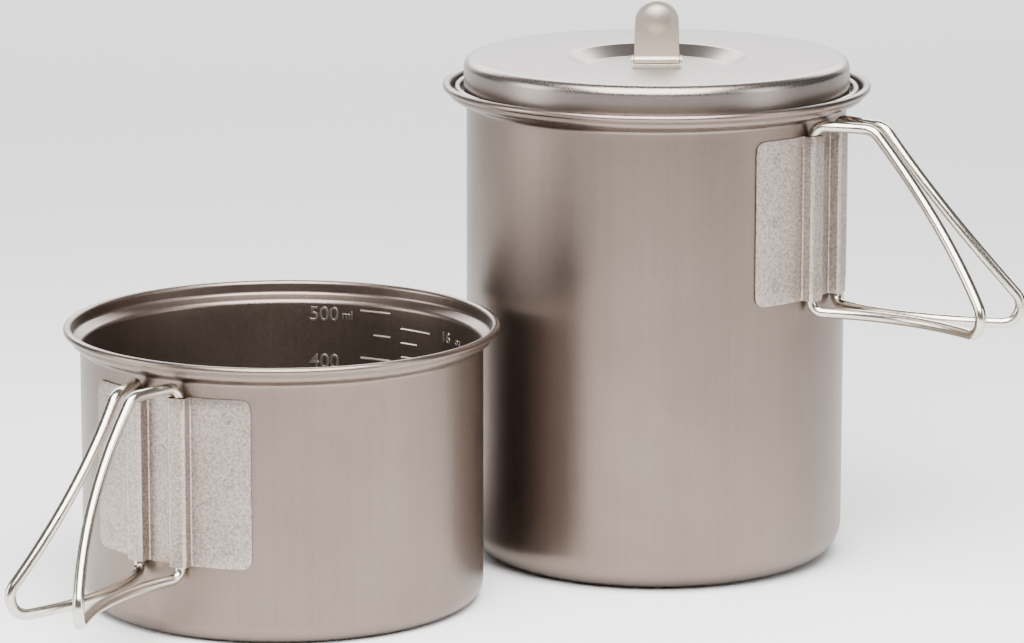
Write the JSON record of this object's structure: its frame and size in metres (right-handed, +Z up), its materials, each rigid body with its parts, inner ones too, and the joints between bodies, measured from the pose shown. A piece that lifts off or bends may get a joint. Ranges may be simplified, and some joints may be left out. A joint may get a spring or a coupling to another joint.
{
  "type": "cooking pot set",
  "caption": "Camping cook set: a tall lidded pot and the wider short pot it nests in, with rolled rims and folding wire loop handles on welded brackets.",
  "frame": {"origin": "centre of the tall pot's base, on the surface that both pots stand on", "axes": "+Z up along the tall pot's axis; +X from the tall pot's axis through the middle of its handle bracket; the short pot stands towards -X and -Y and its own handles point along -Y"},
  "size_m": [0.2112, 0.2525, 0.1456],
  "materials": {
    "titanium_pot": "satin blasted titanium sheet with faint upright drawing marks",
    "titanium_lid": "satin blasted titanium sheet",
    "titanium_bracket": "matt blasted titanium sheet",
    "spot_weld": "pressed spot weld, slightly darker",
    "steel_wire": "bright drawn stainless wire",
    "tab_metal": "satin titanium sheet"
  },
  "bodies": {
    "tall_pot": {"tall_pot": "titanium_pot", "tall_bracket": "titanium_bracket", "tall_spot_welds": "spot_weld"},
    "tall_handle_left": {"tall_handle_left": "steel_wire"},
    "tall_handle_right": {"tall_handle_right": "steel_wire"},
    "lid": {"lid": "titanium_lid", "tab_clip": "tab_metal", "clip_spot_welds": "spot_weld", "tab_pin": "steel_wire"},
    "lid_tab": {"lid_tab": "tab_metal"},
    "short_pot": {"short_pot": "titanium_pot", "short_bracket": "titanium_bracket", "short_spot_welds": "spot_weld"},
    "short_handle_left": {"short_handle_left": "steel_wire"},
    "short_handle_right": {"short_handle_right": "steel_wire"}
  },
  "joints": [
    {"name": "lid_lift", "type": "slide", "parent": "tall_pot", "child": "lid", "axis": [0, 0, 1], "range_m": [0, 0.00015]},
    {"name": "lid_tab_fold", "type": "hinge", "parent": "lid", "child": "lid_tab", "pos_m": [0, 0, 0.13], "axis": [0.8339, 0.5519, 0], "range_deg": [-88, 88]},
    {"name": "tall_handle_left_fold", "type": "hinge", "parent": "tall_pot", "child": "tall_handle_left", "pos_m": [0.05036, -0.00628, 0.0946], "axis": [0, 0, -1], "range_deg": [0, 115]},
    {"name": "tall_handle_right_fold", "type": "hinge", "parent": "tall_pot", "child": "tall_handle_right", "pos_m": [0.05036, 0.00628, 0.0946], "axis": [0, 0, 1], "range_deg": [0, 115]},
    {"name": "short_pot_lift", "type": "slide", "parent": "tall_pot", "child": "short_pot", "axis": [0, 0, 1], "range_m": [0, 0.00015]},
    {"name": "short_handle_left_fold", "type": "hinge", "parent": "short_pot", "child": "short_handle_left", "pos_m": [-0.05974, -0.14455, 0.0407], "axis": [0, 0, -1], "range_deg": [0, 120]},
    {"name": "short_handle_right_fold", "type": "hinge", "parent": "short_pot", "child": "short_handle_right", "pos_m": [-0.04716, -0.14455, 0.0407], "axis": [0, 0, 1], "range_deg": [0, 111]}
  ]
}
